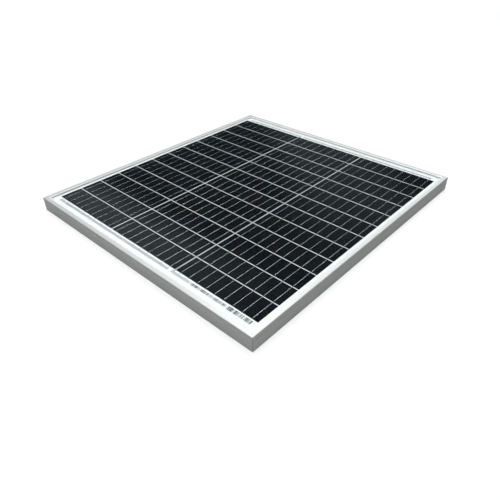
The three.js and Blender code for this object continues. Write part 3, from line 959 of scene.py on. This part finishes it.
class SOLARPANEL_OT_glass(Operator):
    """Makes the glass and the clear films as one clear body, with the cells inside it"""

    bl_idname = "solar_panel.glass"
    bl_label = "Glass and Clear Films"

    def execute(self, context):
        glass = settings_of(context).glass
        clear = material_of("clear_glass", clear_glass, glass)
        low, high = GLASS_BOX
        sink = 0.1 * MM
        bottom = BACKSHEET_BOX[1].z - sink
        outline = rounded_outline(high.x - low.x, high.y - low.y, glass.corner, (0.0, 0.0))
        mesh = prism_mesh("laminated_glass", outline, bottom, high.z)
        piece = rounded_piece("laminated_glass", mesh, glass.edge, clear)
        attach(piece, PANEL_BODY)
        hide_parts("glass", "front_encapsulant", "rear_encapsulant")
        return {"FINISHED"}


class SOLARPANEL_OT_cells(Operator):
    """Gives the silicon cells their printed grid and their tints"""

    bl_idname = "solar_panel.cells"
    bl_label = "Cells"

    def execute(self, context):
        settings = settings_of(context)
        wafer = material_of("silicon_cell", silicon, settings.cells, settings.ribbons)
        for string in range(1, STRINGS + 1):
            for row in range(1, ROWS + 1):
                coat(cell_name(string, row), wafer)
        return {"FINISHED"}


class SOLARPANEL_OT_ribbons(Operator):
    """Solders the tinned ribbons along the strings, and finishes the bus ribbons"""

    bl_idname = "solar_panel.ribbons"
    bl_label = "Cell Ribbons and Bus Ribbons"

    def execute(self, context):
        ribbons = settings_of(context).ribbons
        sheen = ribbons.sheen
        tin = material_of("tinned_wire", tinned, ribbons.tin, sheen, ribbons.roughness)
        bus_tin = material_of("tinned_bus", tinned, ribbons.bus_tin, sheen, ribbons.bus_roughness)
        tree = ribbon_tree()
        top = FIRST_CELL[1].z + ribbons.thickness / 2
        values = {
            "Rows": ROWS,
            "Row Pitch": ROW_PITCH,
            "Cell Length": CELL_SIZE.y,
            "Count": ribbons.count,
            "Pitch": ribbons.pitch,
            "Width": ribbons.width,
            "Thickness": ribbons.thickness,
            "Inset": ribbons.inset,
            "Tuck": ribbons.tuck,
            "Drop": CELL_SIZE.z + ribbons.thickness,
            "Bus Reach": FIRST_CELL[0].y - BUS_BOX[0].y - 0.5 * MM,
            "Solder": ribbons.solder,
            "Material": tin,
        }
        for string in range(1, STRINGS + 1):
            low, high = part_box(cell_name(string, 1))
            turned = string % 2 == 0
            turn = Matrix.Rotation(math.pi if turned else 0.0, 4, "Z")
            shift = Matrix.Translation(((low.x + high.x) / 2, 0.0, top))
            piece = grown(tree, f"ribbons_string{string}", values, shift @ turn)
            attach(piece, PANEL_BODY)
        for end in ("front", "back"):
            for use in ("link", "terminal"):
                coat(f"bus_ribbon_{end}_{use}", bus_tin)
        return {"FINISHED"}


class SOLARPANEL_OT_films(Operator):
    """Finishes the backsheet and the edge seal, and lays the three beads of sealant"""

    bl_idname = "solar_panel.films"
    bl_label = "Backsheet and Sealant"

    def execute(self, context):
        films = settings_of(context).films
        coat("backsheet", material_of("backsheet_white", white_film, films))
        sealant = material_of("pale_silicone", silicone, films)
        coat("edge_seal", sealant)
        tree = bead_tree()
        outer = CAD_BOX[1] - CAD_BOX[0]
        opening = (outer.x - 2 * LIP_INSET, outer.y - 2 * LIP_INSET)
        sheet = (outer.x - 2 * CHAMBER_WIDTH, outer.y - 2 * CHAMBER_WIDTH)
        box = (BOX_BASE[1].x - BOX_BASE[0].x, BOX_LENGTH)
        top = GLASS_BOX[1].z + films.lip_bead * 0.25
        under_sheet = BACKSHEET_BOX[0].z - films.sheet_bead * 0.3
        round_box = BACKSHEET_BOX[0].z - films.box_bead * 0.3
        beads = {
            "lip": (*opening, 1.0 * MM, films.lip_bead, (0.0, 0.0, top)),
            "backsheet": (*sheet, 2.0 * MM, films.sheet_bead, (0.0, 0.0, under_sheet)),
            "junction_box": (*box, 4.0 * MM, films.box_bead, (0.0, BOX_MIDDLE_Y, round_box)),
        }
        for seed, (where, (size_x, size_y, corner, radius, middle)) in enumerate(beads.items()):
            values = {
                "Size X": size_x,
                "Size Y": size_y,
                "Corner": corner,
                "Bead Radius": radius,
                "Flatness": films.flatness,
                "Waviness": films.waviness,
                "Step": radius * 3,
                "Seed": float(seed),
                "Material": sealant,
            }
            piece = grown(tree, f"sealant_bead_{where}", values, Matrix.Translation(middle))
            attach(piece, PANEL_BODY)
        return {"FINISHED"}


class SOLARPANEL_OT_label(Operator):
    """Lays the plain bar label and the row of marks on the front margin, under the glass"""

    bl_idname = "solar_panel.label"
    bl_label = "Bar Label"

    def execute(self, context):
        settings = settings_of(context)
        label = settings.label
        paper = material_of("label_film", printed_paper, settings.films)
        ink = material_of("label_ink", printed_ink, label)
        tree = print_tree()
        middle_y = (BUS_BOX[0].y + BUS_BOX[1].y) / 2
        level = BUS_BOX[1].z + label.clearance
        rows = {
            "bars": (label.bars, label.bar_row, label.bar_height, label.bars_x, 0.15, 0.95, 3),
            "marks": (label.marks, label.mark_row, label.mark_height, label.marks_x, 0.25, 0.9, 8),
        }
        for kind, (count, row_length, height, middle_x, thin, thick, seed) in rows.items():
            size = (row_length + 2 * label.margin, height + 2 * label.margin)
            outline = rounded_outline(*size, 0.5 * MM, (middle_x, middle_y))
            mesh = prism_mesh(f"label_film_{kind}", outline, level - label.film, level)
            mesh.materials.append(paper)
            backing = linked(f"label_film_{kind}", mesh)
            values = {
                "Count": count,
                "Row Length": row_length,
                "Height": height,
                "Thickness": label.film,
                "Narrowest": thin,
                "Widest": thick,
                "Seed": seed,
                "Material": ink,
            }
            at = Matrix.Translation((middle_x, middle_y, level + label.film * 0.2))
            printed = grown(tree, f"label_{kind}", values, at)
            for piece in (backing, printed):
                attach(piece, PANEL_BODY)
        return {"FINISHED"}


class SOLARPANEL_OT_junction_box(Operator):
    """Rounds and finishes the junction box, its lid with raised marks, and its glands"""

    bl_idname = "solar_panel.junction_box"
    bl_label = "Junction Box"

    def execute(self, context):
        box = settings_of(context).box
        plastic = material_of("moulded_black", moulded, box.plastic)
        nylon = material_of("gland_nylon", moulded, rgba(box.plastic, 1.3))
        dressed("junction_box_base", "box_base", box.edge, plastic)
        lid = dressed("junction_box_lid", "box_lid", box.edge, plastic, LID_BODY)
        self.raise_marks(lid.data, box.relief)
        for side in SIDES:
            node = f"cable_gland_{side}"
            dressed(node, f"gland_nut_{side}", box.fine_edge, nylon)
        return {"FINISHED"}

    def raise_marks(self, mesh, relief):
        """Raises a border on the lid's outer face, and a minus and a plus beside the outlets."""
        top = LID_FACE_Z - relief
        root = LID_FACE_Z + 0.2 * MM
        border = rounded_outline(78 * MM, 30 * MM, 3.0 * MM, (0.0, BOX_MIDDLE_Y + 8 * MM))
        bar = 2.0 * MM
        arm = 8.0 * MM
        mark_y = BOX_MIDDLE_Y - BOX_LENGTH / 2 + 10 * MM
        work = bmesh.new()
        work.from_mesh(mesh)
        prism(work, border, top, root)
        for x in (-OUTLET_X, OUTLET_X):
            prism(work, rectangle((x, mark_y), arm, bar), top, root)
        upright = rectangle((OUTLET_X, mark_y), bar, arm)
        prism(work, upright, LID_FACE_Z - relief * 0.98, root)
        work.to_mesh(mesh)
        work.free()
        smooth_curves(mesh)


class SOLARPANEL_OT_terminals(Operator):
    """Finishes the terminal plates and the bypass diode inside the junction box"""

    bl_idname = "solar_panel.terminals"
    bl_label = "Terminals and Diode"

    def execute(self, context):
        settings = settings_of(context)
        box = settings.box
        metal = material_of("terminal_strip", terminal_metal, box, settings.ribbons)
        for side in SIDES:
            node = f"terminal_{side}"
            dressed(node, f"terminal_plate_{side}", box.fine_edge, metal)
        diode = material_of("diode_moulding", diode_parts, box, settings.ribbons)
        dressed("bypass_diode", "diode", box.fine_edge, diode)
        return {"FINISHED"}


class SOLARPANEL_OT_stage(Operator):
    """Sets the pale floor, the soft lights and the camera"""

    bl_idname = "solar_panel.stage"
    bl_label = "Stage, Lights and Camera"

    def execute(self, context):
        stage = settings_of(context).stage
        self.lay_floor(stage)
        self.light_room(context, stage)
        self.hang_softbox("overhead", 2.0, 1.1, stage.overhead)
        self.hang_softbox("under", -1.1, 0.9, stage.under)
        self.place_camera(context, stage)
        context.scene.view_settings.view_transform = "Standard"
        return {"FINISHED"}

    def lay_floor(self, stage):
        mesh = bpy.data.meshes.new("floor")
        width = 40.0
        level = CAD_BOX[0].z - 0.1 * MM
        corners = [(x, y, level) for x, y in rectangle((0.0, 0.0), width, width)]
        mesh.from_pydata(corners, [], [(0, 1, 2, 3)])
        mesh.materials.append(material_of("studio_floor", studio_floor, stage))
        floor = linked("floor", mesh)

    def light_room(self, context, stage):
        """A world with a wide ceiling and three weaker lights, placed by direction.

        over_x and over_y are how far a ray goes to the side for each metre that it rises.
        """
        world = bpy.data.worlds.new("room")
        world.use_nodes = True
        world.node_tree.nodes.clear()
        graph = Graph(world.node_tree)
        direction = graph.add("ShaderNodeTexCoord", output="Generated")
        axes = graph.axes(direction)
        rise = graph.maths("MAXIMUM", axes["Z"], 0.02)
        over_x = axes["X"] / rise
        over_y = axes["Y"] / rise
        reach = graph.maths("SQRT", over_x * over_x + over_y * over_y)
        ceiling = graph.outside(reach, stage.ceiling_reach - 0.12, stage.ceiling_reach + 0.08)
        patch = graph.outside(over_y, 0.80, 1.02) * graph.smooth(-over_x, 0.6, 1.25)
        band = graph.outside(abs(over_y + over_x * 0.9 - 0.8), 0.12, 0.48)
        band = band * graph.smooth(over_y - over_x * 0.9, 1.6, 2.3)
        above = graph.smooth(axes["Z"], 0.0, 0.05)
        right = graph.maths("MAXIMUM", axes["X"], 0.0)
        left = graph.smooth(-axes["X"], 0.2, 0.6)
        ceiling = ceiling * (1.0 - right * stage.right_fall - left * stage.left_fall)
        window = graph.smooth(over_x, -0.62, -0.42) * graph.outside(over_x, 0.1, 0.5)
        window = window * graph.smooth(over_y, 0.5, 0.8) * graph.outside(over_y, 2.2, 2.6)
        mirrored = stage.patch * patch + stage.band * band + stage.window * window
        glow = stage.room + mirrored + stage.ceiling * ceiling
        camera_ray = graph.add("ShaderNodeLightPath", output="Is Camera Ray")
        tone = graph.blend(ceiling, rgba(stage.room_colour), rgba(WHITE))
        room = graph.add("ShaderNodeBackground", {"Color": tone, "Strength": glow * above})
        backdrop = graph.add("ShaderNodeBackground", {"Color": rgba(WHITE)})
        mix = graph.add("ShaderNodeMixShader", {0: camera_ray, 1: room, 2: backdrop})
        graph.add("ShaderNodeOutputWorld", {"Surface": mix})
        context.scene.world = world

    def hang_softbox(self, name, height, width, power):
        """A square lamp over or under the middle of the panel, turned towards it."""
        light = bpy.data.lights.new(name + "_softbox", "AREA")
        light.shape = "RECTANGLE"
        light.size = width
        light.size_y = width
        light.energy = power
        softbox = linked(name + "_softbox", light)
        softbox.location = (0.0, 0.0, height)
        towards = Vector((0.0, 0.0, -height))
        softbox.rotation_euler = towards.to_track_quat("-Z", "Y").to_euler()
        softbox.visible_camera = False

    def place_camera(self, context, stage):
        data = bpy.data.cameras.new("camera")
        data.lens = stage.lens
        camera = linked("camera", data)
        place = Vector(stage.camera_place)
        view = (Vector(stage.camera_aim) - place).to_track_quat("-Z", "Y").to_matrix().to_4x4()
        roll = Matrix.Rotation(stage.camera_roll, 4, "Z")
        camera.matrix_world = Matrix.Translation(place) @ view @ roll
        data.clip_start = 0.01
        context.scene.camera = camera


OPERATORS = (
    SOLARPANEL_OT_stage,
    SOLARPANEL_OT_rails,
    SOLARPANEL_OT_glass,
    SOLARPANEL_OT_cells,
    SOLARPANEL_OT_ribbons,
    SOLARPANEL_OT_films,
    SOLARPANEL_OT_label,
    SOLARPANEL_OT_junction_box,
    SOLARPANEL_OT_terminals,
)


class SOLARPANEL_PT_sidebar(Panel):
    """Lists the operators that finish the panel"""

    bl_idname = "SOLARPANEL_PT_sidebar"
    bl_label = "Solar Panel"
    bl_space_type = "VIEW_3D"
    bl_region_type = "UI"
    bl_category = "Solar Panel"

    def draw(self, context):
        for operator in OPERATORS:
            self.layout.operator(operator.bl_idname)


GROUPS = (
    RailSettings,
    GlassSettings,
    CellSettings,
    RibbonSettings,
    FilmSettings,
    LabelSettings,
    BoxSettings,
    StageSettings,
    SolarPanelSettings,
)
CLASSES = (*GROUPS, *OPERATORS, SOLARPANEL_PT_sidebar)


def register():
    for item in CLASSES:
        bpy.utils.register_class(item)
    bpy.types.Scene.solar_panel = PointerProperty(type=SolarPanelSettings)


def unregister():
    del bpy.types.Scene.solar_panel
    for item in reversed(CLASSES):
        bpy.utils.unregister_class(item)


def main():
    register()
    for operator in OPERATORS:
        family, name = operator.bl_idname.split(".")
        getattr(getattr(bpy.ops, family), name)()


if __name__ == "__main__":
    main()
